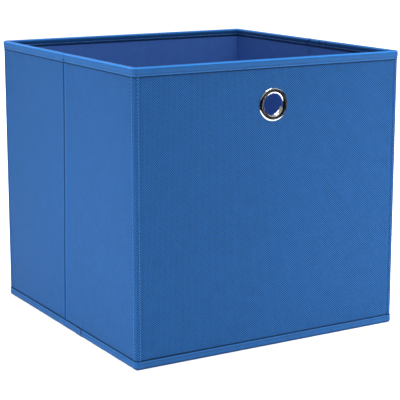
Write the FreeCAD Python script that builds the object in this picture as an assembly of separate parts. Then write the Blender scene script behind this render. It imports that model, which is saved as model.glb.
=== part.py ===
import FreeCAD, Part
import os

# Foldable fabric storage bin with cardboard-stiffened walls, in millimetres.
# +Z is up. The origin is the middle of the footprint, on the surface the bin stands on.
# The front wall, with the eyelet, faces -Y. +X is to the right, seen from the front.

# ---- driving dimensions ----
WIDTH = 280.0            # over the fabric, left to right
DEPTH = 280.0            # over the fabric, front to back
HEIGHT = 265.0           # floor to the top of the rim binding

FABRIC = 0.5             # one layer of non-woven fabric
BOARD = 2.0              # cardboard stiffener in a wall
TAPE = 0.5               # binding tape, sewn over an edge

RIM_TAPE_H = 7.8         # rim binding, outside leg
RIM_TAPE_IN_H = 6.6      # rim binding, inside leg
FOOT_TAPE_H = 7.2        # base binding, outside leg
FOOT_TAPE_IN_H = 6.8     # base binding, inside leg

FLOOR_CLOTH = 0.5        # thickness of the sewn-in fabric floor
WALL_START = 0.8         # underside of the walls, clear of the fabric floor as they fold

# Fold lines. Each side wall hinges at its two ends and at its middle.
CORNER_GAP = 3.5         # from the front or back wall's inner face to a side wall's end
CREASE_GAP = 0.4         # fabric edge to the middle fold line
BOARD_CREASE_GAP = 3.0   # board edge to the middle fold line
BOARD_END_GAP = 1.0      # board edge to the end of its wall
SEAM_CLEARANCE = 0.3     # corner seam to the side wall's end

# Eyelet in the front wall, centred on it.
EYELET_DROP = 41.0       # rim to eyelet centre
EYELET_R = 15.0          # outside of the ring
EYELET_HOLE_R = 10.0     # clear hole
EYELET_BARREL = 0.5      # barrel wall
EYELET_FLANGE = 1.2      # how far the ring stands proud of the fabric
EYELET_SLACK = 0.1       # hole in the wall, over the barrel
WASHER = 0.6             # inside washer
WASHER_R = 14.5
CURL = 0.9               # curl of the barrel over the washer, into the bin
CURL_R = 12.0

# Base insert: a board in a fabric sleeve, hinged along its rear edge.
INSERT_BOARD = 1.6
INSERT_SLEEVE = 0.4
INSERT_LIFT = 0.4        # insert to fabric floor
INSERT_SIDE_GAP = 1.5    # insert to lining, left, right and front
INSERT_REAR_GAP = 0.8    # insert to lining at the hinge
SLEEVE_END = 2.0         # board edge to the open end of the sleeve

# ---- worked out from them ----
WALL = FABRIC + BOARD + FABRIC
HALF_W = WIDTH / 2
HALF_D = DEPTH / 2
END_Y = HALF_D - WALL - CORNER_GAP
WALL_TOP = HEIGHT - TAPE
WALL_FOOT = WALL_START + TAPE
EYELET_Z = HEIGHT - EYELET_DROP

os.makedirs("parts", exist_ok=True)


def export(name, shape):
    """Writes one node as one STEP file."""
    if not shape.isValid() or len(shape.Solids) < 1:
        raise ValueError("bad solid: " + name)
    shape.exportStep("parts/" + name + ".step")


def across(side, depth):
    """The coordinate square to a wall, at a depth below its outer face."""
    half = HALF_D if side in ("front", "back") else HALF_W
    sign = -1 if side in ("front", "left") else 1
    return sign * (half - depth)


def slab(side, start, end, outer, inner, low, high):
    """A flat block in a wall: along it from start to end, between two depths and two heights."""
    near = across(side, outer)
    far = across(side, inner)
    base = min(near, far)
    thick = abs(near - far)
    if side in ("front", "back"):
        return Part.makeBox(end - start, thick, high - low, FreeCAD.Vector(start, base, low))
    return Part.makeBox(thick, end - start, high - low, FreeCAD.Vector(base, start, low))


def binding(side, start, end, outline):
    """A folded tape: a closed outline of (depth, height) points, drawn out along the wall."""
    points = []
    for depth, height in outline:
        if side in ("front", "back"):
            points.append(FreeCAD.Vector(start, across(side, depth), height))
        else:
            points.append(FreeCAD.Vector(across(side, depth), start, height))
    face = Part.Face(Part.makePolygon(points + points[:1]))
    length = end - start
    if side in ("front", "back"):
        return face.extrude(FreeCAD.Vector(length, 0, 0))
    return face.extrude(FreeCAD.Vector(0, length, 0))


def rim_outline():
    """Section of the tape folded down over the top edge."""
    low_out = HEIGHT - RIM_TAPE_H
    low_in = HEIGHT - RIM_TAPE_IN_H
    return [
        (-TAPE, low_out),
        (-TAPE, HEIGHT),
        (WALL + TAPE, HEIGHT),
        (WALL + TAPE, low_in),
        (WALL, low_in),
        (WALL, WALL_TOP),
        (0, WALL_TOP),
        (0, low_out),
    ]


def foot_outline():
    """Section of the tape folded up round the bottom edge."""
    high_out = WALL_START + FOOT_TAPE_H
    high_in = WALL_START + FOOT_TAPE_IN_H
    return [
        (-TAPE, high_out),
        (-TAPE, WALL_START),
        (WALL + TAPE, WALL_START),
        (WALL + TAPE, high_in),
        (WALL, high_in),
        (WALL, WALL_FOOT),
        (0, WALL_FOOT),
        (0, high_out),
    ]


def wall_hole():
    """The hole punched through every layer of the front wall for the eyelet's barrel."""
    radius = EYELET_HOLE_R + EYELET_BARREL + EYELET_SLACK
    start = FreeCAD.Vector(0, -HALF_D - 1, EYELET_Z)
    return Part.makeCylinder(radius, WALL + 2, start, FreeCAD.Vector(0, 1, 0))


def wall(name, side, start, end, board_start, board_end, pierced=False):
    """One stiff wall panel: outer fabric, board, lining and its two bindings, a node each."""
    layers = {
        "outer_fabric": slab(side, start, end, 0, FABRIC, WALL_FOOT, WALL_TOP),
        "board": slab(side, board_start, board_end, FABRIC, FABRIC + BOARD, WALL_FOOT, WALL_TOP),
        "lining": slab(side, start, end, FABRIC + BOARD, WALL, WALL_FOOT, WALL_TOP),
    }
    for layer, shape in layers.items():
        export(name + "_" + layer, shape.cut(wall_hole()) if pierced else shape)
    export(name + "_rim_binding", binding(side, start, end, rim_outline()))
    export(name + "_base_binding", binding(side, start, end, foot_outline()))


def full_wall(side, pierced=False):
    """The front or back wall, in one stiff panel across the bin's whole width."""
    inset = WALL + BOARD_END_GAP
    wall(side, side, -HALF_W, HALF_W, -HALF_W + inset, HALF_W - inset, pierced)


def half_wall(name, side, rear):
    """Half of a side wall, from its corner to the middle fold line."""
    near = CREASE_GAP
    far = END_Y
    board_near = BOARD_CREASE_GAP
    board_far = END_Y - BOARD_END_GAP
    if rear:
        wall(name, side, near, far, board_near, board_far)
    else:
        wall(name, side, -far, -near, -board_far, -board_near)


def corner_seam(name, left, front):
    """The seam allowances stitched together in a corner, a soft square post."""
    outer_x = -HALF_W if left else HALF_W - WALL
    length = CORNER_GAP - TAPE - SEAM_CLEARANCE
    start_y = END_Y + SEAM_CLEARANCE
    low_y = -start_y - length if front else start_y
    size_z = HEIGHT - TAPE - WALL_START
    corner = FreeCAD.Vector(outer_x, low_y, WALL_START)
    export(name, Part.makeBox(WALL, length, size_z, corner))


def revolved(outline):
    """A ring about the eyelet's axis, from a closed outline of (radius, y) points."""
    points = []
    for radius, y in outline:
        points.append(FreeCAD.Vector(radius, y, EYELET_Z))
    face = Part.Face(Part.makePolygon(points + points[:1]))
    ring = face.revolve(FreeCAD.Vector(0, 0, EYELET_Z), FreeCAD.Vector(0, 1, 0), 360)
    return Part.Solid(ring.Shells[0]) if ring.ShapeType != "Solid" else ring


def eyelet():
    """The chromed eyelet: a domed ring and a barrel in one pressing, and the washer behind the wall."""
    front = -HALF_D
    back = front + WALL
    barrel_r = EYELET_HOLE_R + EYELET_BARREL
    middle_r = (EYELET_R + EYELET_HOLE_R) / 2
    washer_back = back + WASHER
    shoulder = 0.7 * EYELET_FLANGE
    ring = [
        (EYELET_R, front),
        (EYELET_R - 0.4, front - shoulder),
        (middle_r + 0.8, front - EYELET_FLANGE),
        (middle_r - 0.8, front - EYELET_FLANGE),
        (EYELET_HOLE_R, front - shoulder),
        (EYELET_HOLE_R, washer_back + CURL),
        (CURL_R - 0.5, washer_back + CURL),
        (CURL_R, washer_back + 0.3),
        (CURL_R, washer_back),
        (barrel_r, washer_back),
        (barrel_r, front),
    ]
    washer_in = barrel_r + EYELET_SLACK
    washer = [
        (washer_in, back),
        (WASHER_R, back),
        (WASHER_R, washer_back),
        (washer_in, washer_back),
    ]
    export("eyelet_ring", revolved(ring))
    export("eyelet_washer", revolved(washer))


def floor():
    """The fabric floor, sewn to the foot of the walls."""
    low = FreeCAD.Vector(-HALF_W, -HALF_D, 0)
    export("floor_fabric", Part.makeBox(WIDTH, DEPTH, FLOOR_CLOTH, low))


def base_insert():
    """The stiff base insert: a board slipped from the rear into a flat sleeve, which is open there."""
    thick = INSERT_BOARD + 2 * INSERT_SLEEVE
    half = HALF_W - WALL - INSERT_SIDE_GAP
    front_y = -(HALF_D - WALL - INSERT_SIDE_GAP)
    rear_y = HALF_D - WALL - INSERT_REAR_GAP
    low_z = FLOOR_CLOTH + INSERT_LIFT
    length = rear_y - front_y
    whole = Part.makeBox(2 * half, length, thick, FreeCAD.Vector(-half, front_y, low_z))
    start = FreeCAD.Vector(-half + INSERT_SLEEVE, front_y + INSERT_SLEEVE, low_z + INSERT_SLEEVE)
    inside_w = 2 * (half - INSERT_SLEEVE)
    pocket = Part.makeBox(inside_w, length, INSERT_BOARD, start)
    board_length = length - INSERT_SLEEVE - SLEEVE_END
    export("base_sleeve", whole.cut(pocket))
    export("base_board", Part.makeBox(inside_w, board_length, INSERT_BOARD, start))


full_wall("front", pierced=True)
full_wall("back")
for side in ("left", "right"):
    half_wall(side + "_rear", side, rear=True)
    half_wall(side + "_front", side, rear=False)
for left in (True, False):
    for front in (True, False):
        ends = ("front" if front else "back", "left" if left else "right")
        corner_seam("corner_seam_" + "_".join(ends), left, front)
eyelet()
floor()
base_insert()
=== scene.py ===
import math

import bmesh
import bpy
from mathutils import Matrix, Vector


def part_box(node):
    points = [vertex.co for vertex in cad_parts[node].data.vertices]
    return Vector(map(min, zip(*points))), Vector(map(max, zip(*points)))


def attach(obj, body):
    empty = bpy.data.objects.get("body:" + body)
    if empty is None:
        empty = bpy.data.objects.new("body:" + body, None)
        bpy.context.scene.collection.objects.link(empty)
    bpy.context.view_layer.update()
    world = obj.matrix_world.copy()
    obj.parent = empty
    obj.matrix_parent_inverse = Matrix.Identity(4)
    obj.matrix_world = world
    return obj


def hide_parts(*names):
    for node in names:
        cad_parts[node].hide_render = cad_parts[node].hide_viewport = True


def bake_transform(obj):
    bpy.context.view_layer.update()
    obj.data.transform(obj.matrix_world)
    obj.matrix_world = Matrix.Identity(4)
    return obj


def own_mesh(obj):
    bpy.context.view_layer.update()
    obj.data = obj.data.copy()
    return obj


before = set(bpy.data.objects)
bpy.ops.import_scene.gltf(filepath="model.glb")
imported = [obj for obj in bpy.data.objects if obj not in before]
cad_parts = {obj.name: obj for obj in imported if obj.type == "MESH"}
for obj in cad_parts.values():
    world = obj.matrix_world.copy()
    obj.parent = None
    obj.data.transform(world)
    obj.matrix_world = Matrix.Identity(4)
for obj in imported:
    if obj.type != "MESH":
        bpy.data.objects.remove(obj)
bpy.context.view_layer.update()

# ---------------------------------------------------------------- sizes, in metres
MM = 0.001
HALF_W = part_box("front_outer_fabric")[1].x
HALF_D = -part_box("front_outer_fabric")[0].y
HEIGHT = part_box("front_rim_binding")[1].z
WALL = HALF_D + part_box("front_lining")[1].y          # outer fabric, board and lining together
CLOTH = HALF_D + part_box("front_outer_fabric")[1].y   # one layer of fabric
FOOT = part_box("front_base_binding")[0].z             # underside of the walls
FOOT_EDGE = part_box("front_base_binding")[1].z        # the foot tape's upper edge
RIM_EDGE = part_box("front_rim_binding")[0].z          # the rim tape's lower edge, outside
PANEL_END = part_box("right_rear_outer_fabric")[1].y   # where a side wall stops short of the corner
EYELET_Z = sum(v.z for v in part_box("eyelet_ring")) / 2
EYELET_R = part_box("eyelet_ring")[1].x
WASHER_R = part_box("eyelet_washer")[1].x
HOLE_R = 10.0 * MM                                   # the eyelet's clear hole

CORNER_R = 3.6 * MM           # rounding of the vertical corners, outside
CORNER_REACH = 9.0 * MM       # how far a corner's own pieces reach round it, each way
CORNER_BEND = 6.5 * MM        # how far onto the broad wall a corner's fabric still bends
SEAM_BAND = 3.9 * MM          # half width of the raised seam that turns the corner
SEAM_ROW = SEAM_BAND - 0.9 * MM    # its rows of stitches, each this far from the corner's middle
SEAM_FADE = 14 * MM           # the fabric's unevenness dies out this close to a corner
LAP_WIDTH = 11.0 * MM         # where a tape's end covers its start
FOLD_BEND = 1.3 * MM          # half of the stretch of fabric that bends at a middle fold
FOLD_LEAN = 9.0 * MM          # the left fold line runs this much further back at its foot
CLOTH_IN = 1.0 * MM           # the cloth ends this far inside the tapes' outer edges
TAPE_GAP = 0.06 * MM          # between a tape and the cloth under it
TAPE_WRAP = 1.2 * MM          # how far the wall's own edge lies inside the tape's

GRID = 5.0 * MM               # spacing of the fabric's mesh, round the wall
CLOTH_ROWS = 54               # its rows of points, up the wall
LEAST_STEP = 0.12 * MM        # points of a mesh are no closer than this, round the wall

RIM_ROW = RIM_EDGE + 1.6 * MM      # height of the rim tape's row of stitches, outside
RIM_EDGE_IN = RIM_EDGE + 1.2 * MM  # the rim tape's lower edge, inside
RIM_ROW_IN = RIM_EDGE_IN + 1.3 * MM
FOOT_ROW = FOOT + 5.3 * MM         # height of the foot tape's row of stitches
RIM_THREAD = 0.32 * MM             # how far the thread stands off the wall in each row
FOOT_THREAD = 0.34 * MM
RIM_THREAD_IN = 0.24 * MM
STITCH_PITCH = 3.2 * MM
STITCH_SHARE = 0.74                # how much of the pitch a stitch fills
THREAD_R = 0.24 * MM
THREAD_R_IN = 0.20 * MM            # the row inside the rim is sewn with a finer thread

# ---------------------------------------------------------------- the walls' outline, seen from above
STRAIGHT_X = HALF_W - CORNER_R
STRAIGHT_Y = HALF_D - CORNER_R
ARC = CORNER_R * math.pi / 2
RIGHT_MID = STRAIGHT_X + ARC + STRAIGHT_Y
BACK_MID = RIGHT_MID + STRAIGHT_Y + ARC + STRAIGHT_X
LEFT_MID = BACK_MID + STRAIGHT_X + ARC + STRAIGHT_Y
ROUND = 2 * BACK_MID
FOOT_LAP = LEFT_MID + 20 * MM     # the foot tape's end, on the left wall
RIM_LAP = RIGHT_MID - 30 * MM     # the rim tape's end, on the right wall
FOLDS = ((RIGHT_MID, False), (LEFT_MID, True))    # and whether it is the left one
CORNERS = {
    "front_right": STRAIGHT_X + ARC / 2,
    "back_right": RIGHT_MID + STRAIGHT_Y + ARC / 2,
    "back_left": BACK_MID + STRAIGHT_X + ARC / 2,
    "front_left": ROUND - STRAIGHT_X - ARC / 2,
}


def outline(s):
    """The point at a distance s round the outer face, and the outward normal.

    s is 0 at the front's middle and grows to the right."""
    s = s % ROUND
    if s > ROUND / 2:
        (x, y), (nx, ny) = outline(ROUND - s)
        return (-x, y), (-nx, ny)
    if s <= STRAIGHT_X:
        return (s, -HALF_D), (0.0, -1.0)
    s -= STRAIGHT_X
    if s <= ARC:
        a = s / CORNER_R
        nx, ny = math.sin(a), -math.cos(a)
        return (STRAIGHT_X + CORNER_R * nx, -STRAIGHT_Y + CORNER_R * ny), (nx, ny)
    s -= ARC
    if s <= 2 * STRAIGHT_Y:
        return (HALF_W, -STRAIGHT_Y + s), (1.0, 0.0)
    s -= 2 * STRAIGHT_Y
    if s <= ARC:
        a = s / CORNER_R
        nx, ny = math.cos(a), math.sin(a)
        return (STRAIGHT_X + CORNER_R * nx, STRAIGHT_Y + CORNER_R * ny), (nx, ny)
    s -= ARC
    return (STRAIGHT_X - s, HALF_D), (0.0, 1.0)


def place(s, depth, z):
    """A point at a depth inside the outer face."""
    (x, y), (nx, ny) = outline(s)
    return (x - nx * depth, y - ny * depth, z)


def bump(x, centre, half):
    """A smooth hump, 1 at its centre and 0 from half away."""
    t = min(1.0, abs(x - centre) / half)
    return 0.5 + 0.5 * math.cos(math.pi * t)


def from_corner(s):
    """Distance round the wall to the nearest corner."""
    return min(abs((s - c + ROUND / 2) % ROUND - ROUND / 2) for c in CORNERS.values())


def fold_line(z, left):
    """How far round from the wall's middle a side wall's fold line lies, at a height. It leans or wanders."""
    return FOLD_LEAN * (z / HEIGHT - 0.5) if left else 2.0 * MM * math.sin(9 * z / HEIGHT)


def slack(s, z):
    """The gentle unevenness of stretched fabric, -1 to 1."""
    a = math.sin(21 * s + 9 * z + 1.0) * math.sin(17 * z - 5 * s + 0.6)
    b = math.sin(47 * s - 31 * z + 2.2) * math.sin(39 * z + 13 * s)
    return 0.7 * a + 0.3 * b


def pucker(s, z):
    """Short upright wrinkles where the tapes are sewn on, dying out away from them."""
    top = math.exp(-max(0.0, RIM_EDGE - z) / (9 * MM))
    low = math.exp(-max(0.0, z - FOOT_EDGE) / (11 * MM))
    wave = math.sin(410 * s + 2.0 * math.sin(37 * s)) * math.sin(63 * s + 0.4)
    return wave * (0.6 * top + low)


def outer_lift(s, z):
    """How far the outer fabric stands off its flat face."""
    lift = 0.40 * MM * slack(s, z) + 0.18 * MM * pucker(s, z)
    near = from_corner(s)
    lift *= min(1.0, near / SEAM_FADE) ** 2
    band = 1 / (1 + math.exp((near - SEAM_BAND) / (0.5 * MM)))
    lift += 0.45 * MM * band - 0.30 * MM * bump(near, SEAM_BAND + 0.6 * MM, 1.6 * MM)
    for mid, left in FOLDS:
        line = mid + fold_line(z, left)
        lift += 0.55 * MM * bump(s, line + 2.2 * MM, 2.4 * MM)
        lift += 0.40 * MM * bump(s, line - 2.6 * MM, 2.8 * MM)
        lift -= 0.30 * MM * bump(s, line, 0.9 * MM)
    return min(0.72 * MM, max(lift, -0.35 * MM))


def nip(s):
    """How far the inner layers sink into the wall at the middle folds.

    It keeps the two halves of a side wall from meeting when the bin is folded."""
    off = min(abs(s - RIGHT_MID), abs(s - LEFT_MID))
    t = min(1.0, max(0.0, (off - 0.9 * MM) / (1.8 * MM)))
    return 1.9 * MM * (1 - t * t * (3 - 2 * t))


def lining_lift(s, z):
    """How far the lining stands off its flat face, into the bin."""
    lift = 0.15 * MM + 0.20 * MM * slack(s + 0.13, z) - 0.10 * MM * pucker(s + 0.3, z)
    lift *= min(1.0, from_corner(s) / SEAM_FADE) ** 2
    return lift - nip(s)


def tape_lift(s, z):
    """Waviness of a sewn tape, its dip at the fold lines, and the step where it laps over itself."""
    lift = 0.10 * MM * math.sin(170 * s + 1.3 * math.sin(40 * s)) * math.sin(29 * s)
    lap = RIM_LAP if z > HEIGHT / 2 else FOOT_LAP
    step = bump(s, lap, 0.7 * MM) + bump(s, lap + LAP_WIDTH, 0.7 * MM)
    beyond = abs(s - lap - LAP_WIDTH / 2) - LAP_WIDTH / 2
    inside = 1 / (1 + math.exp(min(60.0, beyond / (0.12 * MM))))
    lift += 0.42 * MM * inside - 0.15 * MM * step
    lift += 0.25 * MM / (1 + math.exp((from_corner(s) - SEAM_BAND) / (0.6 * MM)))
    for mid, left in FOLDS:
        lift -= 0.55 * MM * bump(s, mid + fold_line(z, left), 1.8 * MM)
    return lift


# ---------------------------------------------------------------- meshes
def smooth(obj, angle=40):
    """Smooth shading, but for edges sharper than the angle, in degrees."""
    for p in obj.data.polygons:
        p.use_smooth = True
    obj.data.set_sharp_from_angle(angle=math.radians(angle))
    return obj


def mesh_object(name, points, faces, uvs=None):
    """A new mesh object. uvs has one (u, v) for each corner of each face, in metres."""
    mesh = bpy.data.meshes.new(name)
    mesh.from_pydata([tuple(p) for p in points], [], faces)
    if uvs is not None:
        layer = mesh.uv_layers.new(name="UVMap")
        layer.data.foreach_set("uv", [c for face in uvs for corner in face for c in corner])
    mesh.validate()
    obj = bpy.data.objects.new(name, mesh)
    bpy.context.collection.objects.link(obj)
    return smooth(obj)


def finer_places():
    """The places round the wall that need a finer mesh, each (distance round, half width, spacing)."""
    out = [(corner, CORNER_REACH, 0.8 * MM) for corner in CORNERS.values()]
    out += [(mid, 11 * MM, 0.45 * MM) for mid, _ in FOLDS]
    for lap in (FOOT_LAP, RIM_LAP):
        out += [(end, 2.0 * MM, 0.25 * MM) for end in (lap, lap + LAP_WIDTH)]
    return out


def stations(start, end):
    """Distances round the wall from start to end, with closer ones where the mesh has to be finer."""
    n = max(1, round((end - start) / GRID))
    out = {start, end} | {start + (end - start) * k / n for k in range(n + 1)}
    for at, half, fine in finer_places():
        for k in range(-round(half / fine), round(half / fine) + 1):
            if start < at + k * fine < end:
                out.add(at + k * fine)
    ordered = sorted(out)
    kept = ordered[:1]
    for s in ordered[1:]:
        if s - kept[-1] > LEAST_STEP:
            kept.append(s)
    kept[-1] = end
    return kept


def sweep(name, along, section, lift, shares):
    """A closed section of (depth, height) points, carried round the wall.

    shares gives how much of the lift each point takes."""
    n, m = len(along), len(section)
    points = []
    for s in along:
        for (depth, z), share in zip(section, shares):
            sunk = nip(s) * min(1.2, max(0.0, depth / WALL))
            points.append(place(s, depth - share * lift(s, z) - sunk, z))
    length = [0.0]
    for k in range(m):
        a, b = section[k], section[(k + 1) % m]
        length.append(length[-1] + math.dist(a, b))
    faces, uvs = [], []
    for i in range(n - 1):
        for k in range(m):
            j = (k + 1) % m
            faces.append((i * m + k, (i + 1) * m + k, (i + 1) * m + j, i * m + j))
            u0, u1, v0, v1 = along[i], along[i + 1], length[k], length[k + 1]
            uvs.append([(u0, v0), (u1, v0), (u1, v1), (u0, v1)])
    for i, order in ((0, range(m)), (n - 1, range(m - 1, -1, -1))):
        faces.append([i * m + k for k in order])
        uvs.append([section[k] for k in order])
    return mesh_object(name, points, faces, uvs)


def cloth_wall(name, along, depth, lift, inward):
    """A thin upright sheet round the wall, closed all over, uneven as lift says.

    Its UV is the distance round and the height."""
    low, high = FOOT + CLOTH_IN, HEIGHT - CLOTH_IN
    rows = [low + (high - low) * k / (CLOTH_ROWS - 1) for k in range(CLOTH_ROWS)]
    n, m = len(along), len(rows)
    sign = -1 if inward else 1
    points, uv = [], []
    for layer in (0, 1):
        for s in along:
            for z in rows:
                base = depth + sign * layer * CLOTH
                points.append(place(s, base - sign * lift(s, z), z))
                uv.append((s, z))
    faces = []
    other = n * m
    for i in range(n - 1):
        for k in range(m - 1):
            a, b = i * m + k, (i + 1) * m + k
            faces.append((a, b, b + 1, a + 1))
            faces.append((other + a, other + a + 1, other + b + 1, other + b))
    rim = [i * m for i in range(n)] + [(n - 1) * m + k for k in range(1, m)]
    rim += [i * m + m - 1 for i in range(n - 2, -1, -1)] + list(range(m - 2, 0, -1))
    for p, q in zip(rim, rim[1:] + rim[:1]):
        faces.append((p, other + p, other + q, q))
    if inward:
        faces = [f[::-1] for f in faces]
    return mesh_object(name, points, faces, [[uv[v] for v in f] for f in faces])


def lathe(name, section, steps, centre):
    """A closed section of (radius, y) points turned about the Y axis through centre."""
    m = len(section)
    points = []
    for i in range(steps):
        a = 2 * math.pi * i / steps
        for r, y in section:
            points.append((centre[0] + r * math.cos(a), centre[1] + y, centre[2] + r * math.sin(a)))
    faces = []
    for i in range(steps):
        for k in range(m):
            a, b = i * m + k, ((i + 1) % steps) * m + k
            j = (k + 1) % m - k
            faces.append((a, a + j, b + j, b))
    return mesh_object(name, points, faces)


# A stitch's rings of points: how far along it, how thick, and how far out of the fabric, in thread radii.
STITCH_RINGS = ((0.0, 0.35, -0.6), (0.16, 0.9, 0.1), (0.5, 1.0, 0.35), (0.84, 0.9, 0.1), (1.0, 0.35, -0.6))
STITCH_SIDES = 6


def stitches(name, seams, radius=THREAD_R):
    """A row of thread stitches along each seam.

    A seam is a function from a distance along it to a point and an outward normal, with its length."""
    points, faces = [], []
    for route, length in seams:
        count = max(1, round(length / STITCH_PITCH))
        for i in range(count):
            mid = (i + 0.5) * length / count
            half = length / count * STITCH_SHARE / 2
            p0, normal = route(mid - half)
            p1, _ = route(mid + half)
            p0, p1, normal = Vector(p0), Vector(p1), Vector(normal)
            along = (p1 - p0).normalized()
            side = along.cross(normal).normalized()
            first = len(points)
            for t, r, rise in STITCH_RINGS:
                centre = p0.lerp(p1, t) + normal * rise * radius
                for k in range(STITCH_SIDES):
                    a = 2 * math.pi * k / STITCH_SIDES
                    points.append(centre + (side * math.cos(a) + normal * math.sin(a)) * r * radius)
            last = len(points) - STITCH_SIDES
            for ring in range(first, last, STITCH_SIDES):
                for k in range(STITCH_SIDES):
                    a, b = ring + k, ring + (k + 1) % STITCH_SIDES
                    faces.append((a, b, b + STITCH_SIDES, a + STITCH_SIDES))
            faces.append([first + k for k in range(STITCH_SIDES - 1, -1, -1)])
            faces.append([last + k for k in range(STITCH_SIDES)])
    return mesh_object(name, points, faces)


# ---------------------------------------------------------------- materials
class Nodes:
    """A short way to build a material's nodes."""

    def __init__(self, name):
        self.material = bpy.data.materials.new(name)
        self.material.use_nodes = True
        self.tree = self.material.node_tree
        self.shader = self.tree.nodes["Principled BSDF"]

    def put(self, socket, value):
        """Links a node's output into a socket, or writes a plain value there."""
        if isinstance(value, bpy.types.NodeSocket):
            self.tree.links.new(value, socket)
        else:
            socket.default_value = value

    def add(self, kind, inputs=None, **settings):
        node = self.tree.nodes.new("ShaderNode" + kind)
        for key, value in settings.items():
            setattr(node, key, value)
        for key, value in (inputs or {}).items():
            self.put(node.inputs[key], value)
        return node

    def math(self, operation, a, b=0.0):
        return self.add("Math", {0: a, 1: b}, operation=operation).outputs[0]

    def ramp(self, value, low, high, to_low=0.0, to_high=1.0):
        inputs = {"Value": value, "From Min": low, "From Max": high, "To Min": to_low, "To Max": to_high}
        return self.add("MapRange", inputs, interpolation_type="SMOOTHSTEP").outputs["Result"]

    def noise(self, vector, scale, detail=3.0, roughness=0.55):
        inputs = {"Vector": vector, "Scale": scale, "Detail": detail, "Roughness": roughness}
        return self.add("TexNoise", inputs).outputs["Fac"]

    def mix(self, factor, a, b):
        node = self.add("Mix", {"Factor": factor}, data_type="RGBA")
        self.put(node.inputs["A"], a)
        self.put(node.inputs["B"], b)
        return node.outputs["Result"]

    def set(self, **values):
        for key, value in values.items():
            self.put(self.shader.inputs[key.replace("_", " ")], value)

    def bumps(self, *heights):
        """Bump maps one on another, each (height, distance in metres, strength)."""
        normal = None
        for height, distance, strength in heights:
            inputs = {"Height": height, "Distance": distance, "Strength": strength}
            if normal is not None:
                inputs["Normal"] = normal
            normal = self.add("Bump", inputs).outputs["Normal"]
        self.set(Normal=normal)


def shade(color, k):
    """A colour made lighter or darker."""
    return (color[0] * k, color[1] * k, color[2] * k, 1.0)


def lines_at(n, value, places, half):
    """1 on thin lines where a value is near one of the places, fading to 0 at half away."""
    total = None
    for at in places:
        off = n.math("ABSOLUTE", n.math("SUBTRACT", value, at))
        line = n.ramp(off, half, 0.2 * half)
        total = line if total is None else n.math("MAXIMUM", total, line)
    return total


DOT_PITCH = (2.4 * MM, 2.1 * MM)     # of the pressed dots, round the wall and up it
DOT_DEPTH = 0.30 * MM
CLOTH_ROUGHNESS = 0.80


def nonwoven(name, color, dots=1.0, heights=(), rounds=(), fold=None):
    """Spunbonded polypropylene: matted fibres, pressed together in a lattice of small dots.

    dots is how strongly they show. Thin lines of painted shade darken it at the given heights, where a tape's
    edge shades the cloth, and at the given distances round, the lining's corners. fold is a fold line's
    distance round and its lean; a line of painted shade runs along it, with a band of painted highlight just
    beside it."""
    n = Nodes(name)
    uv = n.add("UVMap").outputs["UV"]
    where = n.add("TexCoord").outputs["Object"]
    parts = n.add("SeparateXYZ", {0: uv}).outputs
    across = n.math("COSINE", n.math("MULTIPLY", parts[0], 2 * math.pi / DOT_PITCH[0]))
    up = n.math("COSINE", n.math("MULTIPLY", parts[1], 2 * math.pi / DOT_PITCH[1]))
    lattice = n.math("MULTIPLY", across, up)
    dot = n.ramp(lattice, -0.1, 0.5)
    drawn_out = {"Vector": where, "Rotation": (0.0, 0.6, 0.3), "Scale": (1.0, 1.0, 5.0)}
    fibre = n.noise(n.add("Mapping", drawn_out).outputs[0], 900.0, 2.0, 0.7)
    clumps = n.noise(where, 95.0, 4.0, 0.6)
    drift = n.noise(where, 9.0, 2.0, 0.5)
    cloudy = n.mix(n.ramp(clumps, 0.3, 0.7), shade(color, 0.95), shade(color, 1.05))
    cloudy = n.mix(n.ramp(drift, 0.3, 0.7, 0.0, 0.35), cloudy, shade(color, 1.06))
    hairy = n.mix(n.ramp(fibre, 0.35, 0.75, 0.0, 0.30), cloudy, shade(color, 1.25))
    pressed = n.mix(n.math("MULTIPLY", dot, dots), hairy, shade(color, 0.10))
    # Painted shade: thin dark lines under the tapes' edges and, on the lining, in its corners.
    painted_shade = lines_at(n, parts[1], heights, 1.4 * MM) if heights else 0.0
    if rounds:
        painted_shade = n.math("MAXIMUM", painted_shade, lines_at(n, parts[0], rounds, 0.9 * MM))
    if fold:
        lean = n.math("MULTIPLY", n.math("SUBTRACT", n.math("DIVIDE", parts[1], HEIGHT), 0.5), fold[1])
        off = n.math("SUBTRACT", n.math("SUBTRACT", parts[0], lean), fold[0])
        # Painted highlight: a paler band beside the fold line, on the half that stands proud toward the
        # light.
        fold_highlight = n.ramp(n.math("ABSOLUTE", n.math("SUBTRACT", off, 2.6 * MM)), 1.9 * MM, 0.5 * MM)
        pressed = n.mix(n.math("MULTIPLY", fold_highlight, 0.5), pressed, shade(color, 1.3))
        # Painted shade: a dark line along the fold line itself.
        painted_shade = n.math("MAXIMUM", painted_shade, n.ramp(n.math("ABSOLUTE", off), 2.0 * MM, 0.6 * MM))
    # Painted shade: where the lines are, the colour goes almost to black blue.
    if heights or rounds:
        pressed = n.mix(n.math("MULTIPLY", painted_shade, 0.9), pressed, shade(color, 0.12))
    n.set(Base_Color=pressed)
    n.set(Roughness=n.ramp(dot, 0.0, 1.0, CLOTH_ROUGHNESS, CLOTH_ROUGHNESS - 0.18 * dots))
    n.bumps((fibre, 0.12 * MM, 0.35), (clumps, 0.12 * MM, 0.20), (dot, -DOT_DEPTH * dots, 0.6))
    n.shader.inputs["Specular IOR Level"].default_value = 0.10
    n.shader.inputs["Sheen Weight"].default_value = 0.01
    n.shader.inputs["Sheen Roughness"].default_value = 0.45
    return n.material


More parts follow.
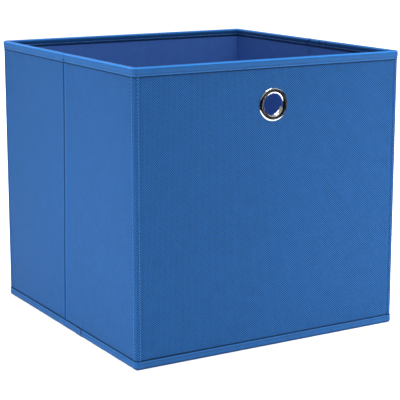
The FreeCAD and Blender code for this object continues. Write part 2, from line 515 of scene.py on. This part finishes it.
def tape_cloth(name, color, edges=(), laps=()):
    """Binding tape: a smoother non-woven strip, with faint lines along it.

    edges are lines at a height, with a half width and how pale or dark they are: painted highlights on the
    tape's rounded top and along its edges, painted shade in its sewn grooves and a painted shadow under its
    foot. laps are where a tape's end covers its start, each with the comparison that picks the foot's or the
    rim's half of the wall; painted shade darkens a line at each end of a lap."""
    n = Nodes(name)
    uv = n.add("UVMap").outputs["UV"]
    where = n.add("TexCoord").outputs["Object"]
    height = n.add("SeparateXYZ", {0: where}).outputs[2]
    stretched = n.add("Mapping", {"Vector": uv, "Scale": (60.0, 2600.0, 1.0)}).outputs[0]
    streaks = n.noise(stretched, 1.0, 2.0, 0.5)
    fibre = n.noise(where, 1100.0, 2.0, 0.7)
    clumps = n.noise(where, 120.0, 3.0, 0.6)
    base = n.mix(n.ramp(clumps, 0.3, 0.7), shade(color, 0.92), shade(color, 1.07))
    base = n.mix(n.ramp(streaks, 0.35, 0.75, 0.0, 0.4), base, shade(color, 1.18))
    base = n.mix(n.ramp(fibre, 0.4, 0.8, 0.0, 0.3), base, shade(color, 1.25))
    # Each line is a painted highlight where its gain is over 1 and painted shade where it is under 1.
    for at, half, gain in edges:
        base = n.mix(n.math("MULTIPLY", lines_at(n, height, (at,), half), 0.85), base, shade(color, gain))
    around = n.add("SeparateXYZ", {0: uv}).outputs[0]
    for start, side in laps:
        # Painted shade: dark lines at the two edges of the lap, where the upper end steps over the lower.
        lap_shade = lines_at(n, around, (start, start + LAP_WIDTH), 0.9 * MM)
        here = n.math(side, height, HEIGHT / 2)
        base = n.mix(n.math("MULTIPLY", n.math("MULTIPLY", lap_shade, here), 0.9), base, shade(color, 0.15))
    n.set(Base_Color=base)
    n.set(Roughness=n.ramp(clumps, 0.3, 0.7, 0.62, 0.74))
    n.bumps((fibre, 0.10 * MM, 0.3), (streaks, 0.10 * MM, 0.35), (clumps, 0.2 * MM, 0.25))
    n.shader.inputs["Specular IOR Level"].default_value = 0.10
    n.shader.inputs["Sheen Weight"].default_value = 0.01
    return n.material


def thread(name, color):
    """Sewing thread: two plies twisted together."""
    n = Nodes(name)
    where = n.add("TexCoord").outputs["Object"]
    twist = n.add("TexWave", {"Vector": where, "Scale": 900.0, "Distortion": 1.5}).outputs["Fac"]
    n.set(Base_Color=n.mix(twist, shade(color, 0.75), shade(color, 1.2)), Roughness=0.6)
    n.bumps((twist, 0.06 * MM, 0.6))
    return n.material


def cardboard(name, color):
    """Grey-brown stiffener board with darker and paler flecks of pulp."""
    n = Nodes(name)
    where = n.add("TexCoord").outputs["Object"]
    pulp = n.noise(where, 260.0, 5.0, 0.65)
    flecks = n.noise(where, 700.0, 2.0, 0.6)
    base = n.mix(n.ramp(pulp, 0.35, 0.65), shade(color, 0.85), shade(color, 1.1))
    n.set(Base_Color=n.mix(n.ramp(flecks, 0.62, 0.72, 0.0, 0.7), base, shade(color, 0.45)))
    n.set(Roughness=n.ramp(pulp, 0.3, 0.7, 0.8, 0.95))
    n.bumps((pulp, 0.15 * MM, 0.5))
    return n.material


def chrome(name, color):
    """Bright chromed steel with faint polishing marks and handling haze."""
    n = Nodes(name)
    where = n.add("TexCoord").outputs["Object"]
    haze = n.noise(where, 160.0, 3.0, 0.6)
    marks = n.noise(n.add("Mapping", {"Vector": where, "Scale": (1.0, 9.0, 1.0)}).outputs[0], 800.0, 2.0, 0.6)
    n.set(Base_Color=n.mix(haze, shade(color, 0.94), shade(color, 1.0)))
    n.set(Roughness=n.ramp(haze, 0.3, 0.8, 0.03, 0.08), Metallic=1.0)
    n.bumps((marks, 0.01 * MM, 0.3))
    return n.material


def plain_stage(name, color, glow):
    """A matt studio surface that gives off a little white light itself, if glow isn't 0."""
    n = Nodes(name)
    n.set(Base_Color=shade(color, 1.0), Roughness=0.9)
    n.set(Emission_Color=(1.0, 1.0, 1.0, 1.0), Emission_Strength=glow)
    n.shader.inputs["Specular IOR Level"].default_value = 0.0
    return n.material


BLUE = (0.0106, 0.081, 0.256)
TAPE_BLUE = (0.0095, 0.070, 0.212)
LINING_BLUE = (0.078, 0.205, 0.565)
LINING_DOTS = 0.44
# Heights of painted shade lines on the cloth, just under the rim tape and just above the foot tape.
TAPE_SHADE_HEIGHTS = (RIM_EDGE - 0.45 * MM, FOOT_EDGE + 0.45 * MM)
OUTER = nonwoven("outer_nonwoven", BLUE, heights=TAPE_SHADE_HEIGHTS)
# The side walls also get a fold line's painted shade and painted highlight.
OUTER_LEFT = nonwoven("outer_nonwoven_left", BLUE, heights=TAPE_SHADE_HEIGHTS, fold=(LEFT_MID, FOLD_LEAN))
OUTER_RIGHT = nonwoven("outer_nonwoven_right", BLUE, heights=TAPE_SHADE_HEIGHTS, fold=(RIGHT_MID, 0.0))
OUTER_OF = {"left_side": OUTER_LEFT, "right_side": OUTER_RIGHT}
# The lining has painted shade under its rim tape and in its four corners.
LINING = nonwoven(
    "lining_nonwoven", LINING_BLUE, dots=LINING_DOTS,
    heights=(RIM_EDGE_IN - 0.5 * MM,), rounds=tuple(CORNERS.values()),
)
# Painted highlights on the rim's rounded top, the rim tape's lower edge and the foot tape's upper edge;
# painted shade in both stitch grooves; a painted shadow under the foot.
TAPE = tape_cloth(
    "binding_tape", TAPE_BLUE,
    edges=(
        (HEIGHT - 0.8 * MM, 0.9 * MM, 2.9), (RIM_EDGE + 0.6 * MM, 0.8 * MM, 1.5), (RIM_ROW, 0.6 * MM, 0.7),
        (FOOT_EDGE - 0.6 * MM, 0.8 * MM, 1.40), (FOOT_ROW, 0.7 * MM, 0.7), (FOOT + 0.4 * MM, 1.9 * MM, 0.15),
    ),
    laps=((FOOT_LAP, "LESS_THAN"), (RIM_LAP, "GREATER_THAN")),
)
THREAD = thread("thread", (0.008, 0.035, 0.130))
PALE_THREAD = thread("pale_thread", (0.150, 0.330, 0.640))
SEAM_THREAD = thread("seam_thread", (0.020, 0.120, 0.350))
LINING_FLAT = nonwoven("insert_nonwoven", LINING_BLUE, dots=LINING_DOTS)    # lying flat, without painted shade lines
BOARD = cardboard("stiffener_board", (0.36, 0.26, 0.17))
CHROME = chrome("chromed_steel", (0.86, 0.86, 0.88))


def finish_piece(obj, material):
    """Gives a piece its material."""
    obj.data.materials.clear()
    obj.data.materials.append(material)
    return obj


# ---------------------------------------------------------------- stretches of wall
# Each stretch of wall is a run of fabric that moves with one body, or lies between two.
def half_way_up(s):
    """The outer face's point at a distance round, at half the height."""
    return place(s, 0.0, HEIGHT / 2)


def bend_corner(corner, side_first):
    """Where a corner's fabric starts and stops bending: on the side wall, and on the front or back wall.

    side_first says that the side wall comes before the corner, going round."""
    way = 1 if side_first else -1
    centre = CORNERS[corner]
    return half_way_up(centre - way * CORNER_REACH), half_way_up(centre + way * CORNER_BEND)


def corner_stretch(corner, side_body, broad_body, side_first):
    """The stretch of fabric that turns a corner, from a side wall's body to the front's or the back's."""
    centre = CORNERS[corner]
    return {
        "name": corner + "_corner",
        "s": (centre - CORNER_REACH, centre + CORNER_REACH),
        "bodies": (side_body, broad_body),
        "bend": bend_corner(corner, side_first),
    }


SPLIT = RIGHT_MID + PANEL_END      # the rear right corner parts here when the bin folds
STRETCHES = [
    {
        "name": "front",
        "s": (CORNERS["front_left"] + CORNER_REACH - ROUND, CORNERS["front_right"] - CORNER_REACH),
        "bodies": ("front_wall",),
    },
    corner_stretch("front_right", "right_front_panel", "front_wall", side_first=False),
    {
        "name": "right_side",
        "s": (CORNERS["front_right"] + CORNER_REACH, SPLIT),
        "bodies": ("right_front_panel", "right_rear_panel"),
        "bend": (half_way_up(RIGHT_MID - FOLD_BEND), half_way_up(RIGHT_MID + FOLD_BEND)),
        "panels": ("right_front", "right_rear"),
    },
    {
        "name": "back_right_corner",
        "s": (SPLIT, CORNERS["back_right"] + CORNER_REACH),
        "bodies": ("back_wall",),
    },
    {
        "name": "back",
        "s": (CORNERS["back_right"] + CORNER_REACH, CORNERS["back_left"] - CORNER_REACH),
        "bodies": ("back_wall",),
    },
    corner_stretch("back_left", "left_rear_panel", "back_wall", side_first=False),
    {
        "name": "left_side",
        "s": (CORNERS["back_left"] + CORNER_REACH, CORNERS["front_left"] - CORNER_REACH),
        "bodies": ("left_rear_panel", "left_front_panel"),
        "bend": (half_way_up(LEFT_MID - FOLD_BEND), half_way_up(LEFT_MID + FOLD_BEND)),
        "panels": ("left_rear", "left_front"),
    },
    corner_stretch("front_left", "left_front_panel", "front_wall", side_first=True),
]
SEAM_NODES = {
    "front_right_corner": "corner_seam_front_right",
    "back_right_corner": "corner_seam_back_right",
    "back_left_corner": "corner_seam_back_left",
    "front_left_corner": "corner_seam_front_left",
}


def carry(obj, stretch):
    """Lets a piece ride on its stretch's body, or, if it lies between two bodies, bakes its placing into its
    points.
    """
    if len(stretch["bodies"]) == 1:
        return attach(obj, stretch["bodies"][0])
    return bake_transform(obj)


def stand_for(stretch, layer):
    """Has a piece stand for the plain CAD nodes of its layer. A corner's cloth has none of its own there."""
    panels = stretch.get("panels") or (() if "corner" in stretch["name"] else (stretch["name"],))
    for panel in panels:
        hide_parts(panel + "_" + layer)


# ---------------------------------------------------------------- fabric, tapes and stitches
def rim_section():
    """The rim tape's section: down outside, over the top, down inside, and back under itself."""
    top, low, low_in = HEIGHT, RIM_EDGE, RIM_EDGE_IN
    outside = [(-0.62, 0.0), (-0.68, 0.35), (-0.34, 1.6), (-0.64, 2.8), (-0.78, 4.0), (-0.78, 5.4)]
    section = [(d * MM, low + z * MM) for d, z in outside]
    proud, proud_in, rise = 0.78 * MM, 0.50 * MM, 1.9 * MM
    middle, half = (WALL + proud_in - proud) / 2, (WALL + proud_in + proud) / 2
    for k in range(1, 8):
        a = math.pi * k / 8
        section.append((middle - half * math.cos(a), top - rise + rise * math.sin(a)))
    inside = [(0.50, 3.6), (0.46, 2.5), (0.22, 1.3), (0.46, 0.5), (0.42, 0.0)]
    section += [(WALL + d * MM, low_in + z * MM) for d, z in inside]
    section += [(WALL + TAPE_GAP, low_in), (WALL + TAPE_GAP, top - TAPE_WRAP)]
    section += [(-TAPE_GAP, top - TAPE_WRAP), (-TAPE_GAP, low)]
    return section


def foot_section():
    """The foot tape's section: from inside the bin, down under the wall and up outside."""
    high, low, high_in = FOOT_EDGE, FOOT, FOOT_EDGE - 0.4 * MM
    section = [(WALL + TAPE_GAP, high_in), (WALL + 0.40 * MM, high_in)]
    section += [(WALL + 0.50 * MM, high_in - 1.5 * MM), (WALL + 0.45 * MM, low + 1.2 * MM)]
    section += [(WALL + 0.1 * MM, low + 0.2 * MM), (WALL / 2, low), (0.4 * MM, low + 0.05 * MM)]
    outside = [(-0.45, 0.7), (-0.72, 1.6), (-0.78, 2.9), (-0.68, 4.2), (-0.34, 5.3), (-0.68, 6.3)]
    outside += [(-0.70, 6.85), (-0.62, 7.2)]
    section += [(d * MM, low + z * MM) for d, z in outside]
    section += [(-TAPE_GAP, high), (-TAPE_GAP, low + TAPE_WRAP), (WALL + TAPE_GAP, low + TAPE_WRAP)]
    return section


def lift_shares(section):
    """Which points of a tape's section follow its waviness: 1 for those outside the wall, 0 for the rest."""
    return [1.0 if d < 0.2 * WALL else 0.0 for d, _ in section]


def level_seam(s0, depth, z, inside=False):
    """A row of stitches round the wall at one height."""

    def route(t):
        _, (nx, ny) = outline(s0 + t)
        if inside:
            return place(s0 + t, depth - nip(s0 + t), z), (-nx, -ny, 0.0)
        return place(s0 + t, depth - tape_lift(s0 + t, z), z), (nx, ny, 0.0)

    return route


def upright_seam(s):
    """A row of stitches up a corner's seam allowance."""

    def route(t):
        z = FOOT_EDGE + t
        _, (nx, ny) = outline(s)
        return place(s, -outer_lift(s, z), z), (nx, ny, 0.0)

    return route


RIM_SECTION = rim_section()
FOOT_SECTION = foot_section()
SEAM_HEIGHT = RIM_EDGE - FOOT_EDGE    # what shows of a corner's seam between the tapes
tall_cloth = HEIGHT - FOOT            # as cut, to the tapes' outer edges

cloths = {}
for stretch in STRETCHES:
    name = stretch["name"]
    start, end = stretch["s"]
    along = stations(start, end)
    length = end - start

    outer = cloth_wall(name + "_outer_cloth", along, 0.0, outer_lift, inward=False)
    lining = cloth_wall(name + "_lining_cloth", along, WALL, lining_lift, inward=True)
    rim = sweep(name + "_rim_tape", along, RIM_SECTION, tape_lift, lift_shares(RIM_SECTION))
    foot = sweep(name + "_foot_tape", along, FOOT_SECTION, tape_lift, lift_shares(FOOT_SECTION))
    rows = [(level_seam(start, -RIM_THREAD, RIM_ROW), length)]
    rows.append((level_seam(start, -FOOT_THREAD, FOOT_ROW), length))
    inner_row = [(level_seam(start, WALL + RIM_THREAD_IN, RIM_ROW_IN, inside=True), length)]
    upright = []
    for corner in CORNERS.values():
        for side in (-SEAM_ROW, SEAM_ROW):
            for turn in (0, -ROUND):
                if start <= corner + side + turn < end:
                    upright.append((upright_seam(corner + side), SEAM_HEIGHT))
    sewn = [finish_piece(stitches(name + "_stitches", rows), THREAD)]
    inner_stitches = stitches(name + "_inner_stitches", inner_row, THREAD_R_IN)
    sewn.append(finish_piece(inner_stitches, PALE_THREAD))
    if upright:
        sewn.append(finish_piece(stitches(name + "_seam_stitches", upright), SEAM_THREAD))

    for piece, material, slot, layer in (
        (outer, OUTER_OF.get(name, OUTER), "outer_fabric", "outer_fabric"),
        (lining, LINING, "lining_fabric", "lining"),
        (rim, TAPE, "binding_tape", "rim_binding"),
        (foot, TAPE, "binding_tape", "base_binding"),
    ):
        finish_piece(piece, material)
        stand_for(stretch, layer)
    if name in SEAM_NODES:
        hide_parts(SEAM_NODES[name])
    for piece in (outer, lining, rim, foot, *sewn):
        carry(piece, stretch)
    cloths[name] = (outer, lining)


def pocket_seam(name, end):
    """The upright seam that closes a board's pocket where a wall ends: a bead between the two layers."""
    low, tall, steps = FOOT + 1.2 * MM, tall_cloth - 2.6 * MM, 60
    levels = [low + tall * k / steps for k in range(steps + 1)]
    middle, half, across = WALL / 2, WALL / 2 - CLOTH, 9
    points, uv = [], []
    for z in levels:
        wave = 0.05 * MM * math.sin(300 * z) * math.sin(71 * z)
        for k in range(across):
            a = math.pi * (k / (across - 1) - 0.5)
            s = end - 0.85 * MM + (0.60 * MM + wave) * math.cos(a)
            points.append(place(s, middle + half * math.sin(a), z))
            uv.append((s + half * a, z))
    faces = []
    for i in range(len(levels) - 1):
        for k in range(across):
            j = (k + 1) % across
            a, b = i * across, (i + 1) * across
            faces.append((a + k, b + k, b + j, a + j))
    faces += [tuple(range(across)), tuple(range(len(points) - 1, len(points) - 1 - across, -1))]
    return mesh_object(name, points, faces, [[uv[v] for v in f] for f in faces])


# The right side's rear end shows when the bin is folded.
end_seam = finish_piece(pocket_seam("right_side_end_seam", SPLIT), OUTER)
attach(end_seam, "right_rear_panel")


# ---------------------------------------------------------------- the eyelet
def cut_hole(obj, radius):
    """Punches a round hole through a wall piece for the eyelet's barrel."""
    reach = 4 * WALL
    disc = [(0.0, -reach), (radius, -reach), (radius, reach), (0.0, reach)]
    cutter = lathe("hole_cutter", disc, 64, (0.0, -HALF_D, EYELET_Z))
    modifier = obj.modifiers.new("hole", "BOOLEAN")
    modifier.operation, modifier.solver, modifier.object = "DIFFERENCE", "EXACT", cutter
    bpy.context.view_layer.update()
    shape = bpy.data.meshes.new_from_object(obj.evaluated_get(bpy.context.evaluated_depsgraph_get()))
    obj.modifiers.clear()
    # The cut leaves points on top of one another.
    clean = bmesh.new()
    clean.from_mesh(shape)
    bmesh.ops.remove_doubles(clean, verts=clean.verts, dist=0.002 * MM)
    clean.to_mesh(shape)
    clean.free()
    obj.data = shape
    bpy.data.objects.remove(cutter)
    return smooth(obj)


def ring_section():
    """The eyelet's section, from its rim over the dome, through the barrel to the curl behind the washer."""
    front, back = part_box("eyelet_ring")[0].y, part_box("eyelet_ring")[1].y
    proud = -HALF_D - front
    middle, seat = (EYELET_R + HOLE_R) / 2 + 0.4 * MM, -HALF_D - 0.02 * MM
    section = []
    for k in range(10):
        a = math.radians(90 - 10 * k)
        section.append((middle + (EYELET_R - middle) * math.sin(a), seat - (proud - 0.02 * MM) * math.cos(a)))
    for k in range(1, 10):
        a = math.radians(10 * k)
        section.append((middle - (middle - HOLE_R) * math.sin(a), seat - (proud - 0.02 * MM) * math.cos(a)))
    curl, tube = 0.9 * MM, back - 0.9 * MM
    for k in range(7):
        a = math.radians(15 * k)
        section.append((HOLE_R + curl * (1 - math.cos(a)), tube + curl * math.sin(a)))
    section += [(HOLE_R + 1.6 * MM, back - 0.15 * MM), (HOLE_R + 1.95 * MM, back - 0.55 * MM)]
    section += [(HOLE_R + 1.6 * MM, back - 0.60 * MM), (HOLE_R + 0.9 * MM, back - 0.45 * MM)]
    section += [(HOLE_R + 0.5 * MM, tube), (HOLE_R + 0.5 * MM, seat + 0.1 * MM)]
    section.append((EYELET_R - 0.4 * MM, seat + 0.02 * MM))
    return section


def washer_section():
    """The washer's section, a shallow dish with rounded edges."""
    front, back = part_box("eyelet_washer")[0].y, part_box("eyelet_washer")[1].y
    inner = HOLE_R + 0.6 * MM
    rise = back - front
    return [
        (inner, front), (WASHER_R - 0.3 * MM, front), (WASHER_R, front + 0.25 * rise),
        (WASHER_R - 0.1 * MM, front + 0.55 * rise), (WASHER_R - 0.5 * MM, front + 0.8 * rise),
        (WASHER_R - 1.6 * MM, back), (inner + 0.3 * MM, back), (inner, front + 0.8 * rise),
    ]


def metal_ring(name, section, steps):
    """A chromed ring, turned about the eyelet's axis."""
    turned = lathe(name, section, steps, (0.0, 0.0, EYELET_Z))
    return finish_piece(smooth(turned, 60), CHROME)


for cloth in cloths["front"]:
    cut_hole(cloth, HOLE_R + 0.9 * MM)
ring = metal_ring("eyelet_chrome_ring", ring_section(), 128)
washer = metal_ring("eyelet_back_washer", washer_section(), 96)
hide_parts("eyelet_ring")
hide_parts("eyelet_washer")
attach(ring, "front_wall")
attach(washer, "front_wall")


# ---------------------------------------------------------------- the floor and the base insert
def slab_points(low, high, steps, rise, radius):
    """A flat slab with rounded edges, its top uneven as rise says.

    Returns its points, its faces but for those of the rear edge, and the ring of points round that edge."""
    axes = []
    for lo, hi, n in ((low.x, high.x, steps), (low.y, high.y, steps)):
        inset = [lo + radius * f for f in (0.15, 0.5)] + [hi - radius * f for f in (0.5, 0.15)]
        axes.append(sorted({lo + (hi - lo) * k / n for k in range(n + 1)} | set(inset)))
    xs, ys = axes
    middle, half = (low.z + high.z) / 2, (high.z - low.z) / 2
    points = []
    for sign in (1, -1):
        for x in xs:
            for y in ys:
                t = min(1.0, min(x - low.x, high.x - x, y - low.y, high.y - y) / radius)
                round_ = math.sqrt(max(0.0, 1 - (1 - t) ** 2))
                up = rise(x, y) if sign > 0 else 0.0
                points.append((x, y, middle + sign * half * (0.25 + 0.75 * round_) + up))
    n, m = len(xs), len(ys)
    other = n * m
    faces = []
    for i in range(n - 1):
        for k in range(m - 1):
            a, b = i * m + k, (i + 1) * m + k
            faces.append((a, b, b + 1, a + 1))
            faces.append((other + a, other + a + 1, other + b + 1, other + b))
    edge = list(range(m - 1, -1, -1)) + [i * m for i in range(1, n)]
    edge += [(n - 1) * m + k for k in range(1, m)]
    for p, q in zip(edge, edge[1:]):
        faces.append((p, other + p, other + q, q))
    rear = [(i + 1) * m - 1 for i in range(n)] + [other + (i + 1) * m - 1 for i in range(n - 1, -1, -1)]
    return points, faces, rear


def slab(name, low, high, steps, rise, radius):
    """A closed flat slab of cloth."""
    points, faces, rear = slab_points(low, high, steps, rise, radius)
    half = len(rear) // 2
    for k in range(half - 1):
        p, q = rear[k], rear[k + 1]
        faces.append((p, q, rear[-2 - k], rear[-1 - k]))
    return mesh_object(name, points, faces, [[points[v][:2] for v in f] for f in faces])


def sleeve_mesh(name, low, high, steps, rise, radius, cloth):
    """A flat sleeve of cloth, open at the rear, with the cloth's thickness all round."""
    points, faces, rear = slab_points(low, high, steps, rise, radius)
    low_in, high_in = low + Vector((cloth, cloth, cloth)), high - Vector((cloth, 0.0, cloth))
    inner, inner_faces, _ = slab_points(low_in, high_in, steps, rise, radius)
    n = len(points)
    faces += [tuple(n + v for v in reversed(f)) for f in inner_faces]
    for p, q in zip(rear, rear[1:] + rear[:1]):
        faces.append((p, q, n + q, n + p))
    points += inner
    return mesh_object(name, points, faces, [[points[v][:2] for v in f] for f in faces])


SLEEVE_LOW, SLEEVE_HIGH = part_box("base_sleeve")
SLEEVE_CLOTH = 0.4 * MM
SLEEVE_EDGE_R = 1.2 * MM
SLEEVE_SEAM = 5.0 * MM      # its stitches lie this far in from the edges


def sleeve_rise(x, y):
    """How far the sleeve's top stands up: gently uneven, and pulled down along its rows of stitches."""
    d = min(x - SLEEVE_LOW.x, SLEEVE_HIGH.x - x, y - SLEEVE_LOW.y, SLEEVE_HIGH.y - y)
    uneven = 0.10 * MM * slack(x + 0.4, y + 0.2) * min(1.0, d / (20 * MM))
    return uneven - 0.35 * MM * bump(d, SLEEVE_SEAM, 1.6 * MM)


sleeve = sleeve_mesh(
    "base_insert_sleeve", SLEEVE_LOW, SLEEVE_HIGH, 110, sleeve_rise, SLEEVE_EDGE_R, SLEEVE_CLOTH
)
finish_piece(sleeve, LINING_FLAT)
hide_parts("base_sleeve")
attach(sleeve, "base_insert")


def sleeve_seam(x0, y0, x1, y1):
    """A row of stitches along one edge of the sleeve's top."""
    dx, dy = x1 - x0, y1 - y0
    length = math.hypot(dx, dy)

    def route(t):
        x, y = x0 + dx * t / length, y0 + dy * t / length
        return (x, y, SLEEVE_HIGH.z + sleeve_rise(x, y) + 0.05 * MM), (0.0, 0.0, 1.0)

    return route, length


x0, y0 = SLEEVE_LOW.x + SLEEVE_SEAM, SLEEVE_LOW.y + SLEEVE_SEAM
x1, y1 = SLEEVE_HIGH.x - SLEEVE_SEAM, SLEEVE_HIGH.y - SLEEVE_SEAM
sleeve_rows = [sleeve_seam(x0, y0, x1, y0), sleeve_seam(x1, y0, x1, y1), sleeve_seam(x0, y0, x0, y1)]
sleeve_stitches = finish_piece(stitches("base_insert_stitches", sleeve_rows), THREAD)
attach(sleeve_stitches, "base_insert")

FLOOR_LOW, FLOOR_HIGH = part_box("floor_fabric")
FLOOR_IN = Vector((1.5 * MM, 1.5 * MM, 0.0))    # the cloth's edges are caught inside the foot tape
FLOOR_EDGE_R = 0.8 * MM
floor_cloth = slab(
    "floor_cloth", FLOOR_LOW + FLOOR_IN, FLOOR_HIGH - FLOOR_IN, 60, lambda x, y: 0.0, FLOOR_EDGE_R
)
finish_piece(floor_cloth, LINING_FLAT)
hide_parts("floor_fabric")
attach(floor_cloth, "back_wall")
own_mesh(floor_cloth)

# ---------------------------------------------------------------- CAD nodes that stay
for node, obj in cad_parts.items():
    if node.endswith("board"):
        obj.data.materials.clear()
        obj.data.materials.append(BOARD)

# ---------------------------------------------------------------- the camera and the studio
CAMERA_AT = (-0.6540, -1.1134, 0.3904)
CAMERA_YAW = 30.71        # degrees, turned to the right from straight ahead
CAMERA_PITCH = -11.34     # degrees, looking down
LENS = 119.6              # millimetres
SENSOR = 36.0
SHIFT = -0.05             # keeps the uprights nearer to parallel
camera = bpy.data.objects.new("camera", bpy.data.cameras.new("camera"))
bpy.context.collection.objects.link(camera)
camera.location = CAMERA_AT
camera.rotation_euler = (math.radians(90 + CAMERA_PITCH), 0.0, math.radians(-CAMERA_YAW))
camera.data.lens = LENS
camera.data.sensor_width = SENSOR
camera.data.shift_y = SHIFT
bpy.context.scene.camera = camera


def area_light(name, at, toward, size, power):
    """A soft square white lamp, a size in metres across, turned toward a point."""
    data = bpy.data.lights.new(name, "AREA")
    data.energy, data.size = power, size
    lamp = bpy.data.objects.new(name, data)
    bpy.context.collection.objects.link(lamp)
    lamp.location = at
    lamp.visible_camera = False
    lamp.rotation_euler = (Vector(toward) - Vector(at)).to_track_quat("-Z", "Y").to_euler()


CENTRE = (0.0, 0.0, HEIGHT / 2)
area_light("low_left_softbox", (-0.66, -0.10, 0.05), (-0.14, 0.0, 0.02), 0.4, 6.0)
area_light("low_front_softbox", (0.56, -0.60, 0.02), (0.10, -0.14, 0.0), 0.4, 10.0)
area_light("rear_softbox", (0.3, 2.4, 1.1), CENTRE, 1.6, 30.0)
area_light("overhead", (0.10, -0.20, 2.4), CENTRE, 1.2, 63.0)


ROOM_LEFT, ROOM_RIGHT = 0.225, 0.50      # how bright the white room is, toward each side


def studio_world():
    """A white room, darker to the left."""
    world = bpy.data.worlds.new("studio")
    world.use_nodes = True
    tree = world.node_tree
    where = tree.nodes.new("ShaderNodeTexCoord").outputs["Generated"]
    parts = tree.nodes.new("ShaderNodeSeparateXYZ")
    tree.links.new(where, parts.inputs[0])
    fade = tree.nodes.new("ShaderNodeMapRange")
    for name, value in (("From Min", -1.0), ("From Max", 1.0), ("To Min", ROOM_LEFT), ("To Max", ROOM_RIGHT)):
        fade.inputs[name].default_value = value
    tree.links.new(parts.outputs["X"], fade.inputs["Value"])
    background = tree.nodes["Background"]
    background.inputs["Color"].default_value = (1.0, 1.0, 1.0, 1.0)
    tree.links.new(fade.outputs["Result"], background.inputs["Strength"])
    return world


bpy.context.scene.world = studio_world()

FLOOR_SIZE = 30.0
FLOOR_GLOW = 0.72         # lifts the floor to white
floor = mesh_object(
    "studio_floor",
    [(x * FLOOR_SIZE, y * FLOOR_SIZE, 0.0) for x, y in ((-1, -1), (1, -1), (1, 1), (-1, 1))],
    [(0, 1, 2, 3)],
)
floor.data.materials.append(plain_stage("studio_floor", (0.80, 0.80, 0.80), FLOOR_GLOW))

# A black card curved round the front, seen only in the chrome, as a photographer places one.
CARD_R, CARD_FOOT, CARD_TOP, CARD_TURN = 0.32, 0.045, 0.33, math.radians(115)
CARD_STEPS = 24
card_points, card_faces = [], []
for k in range(CARD_STEPS + 1):
    a = -CARD_TURN + 2 * CARD_TURN * k / CARD_STEPS
    for z in (CARD_FOOT, CARD_TOP):
        card_points.append((CARD_R * math.sin(a), -HALF_D - CARD_R * math.cos(a), z))
    if k:
        card_faces.append((2 * k - 2, 2 * k, 2 * k + 1, 2 * k - 1))
card = mesh_object("black_card", card_points, card_faces)
card.data.materials.append(plain_stage("black_card", (0.004, 0.004, 0.004), 0.0))
card.visible_camera = card.visible_diffuse = card.visible_shadow = False
card.visible_transmission = card.visible_volume_scatter = False
bpy.context.scene.view_settings.view_transform = "Standard"
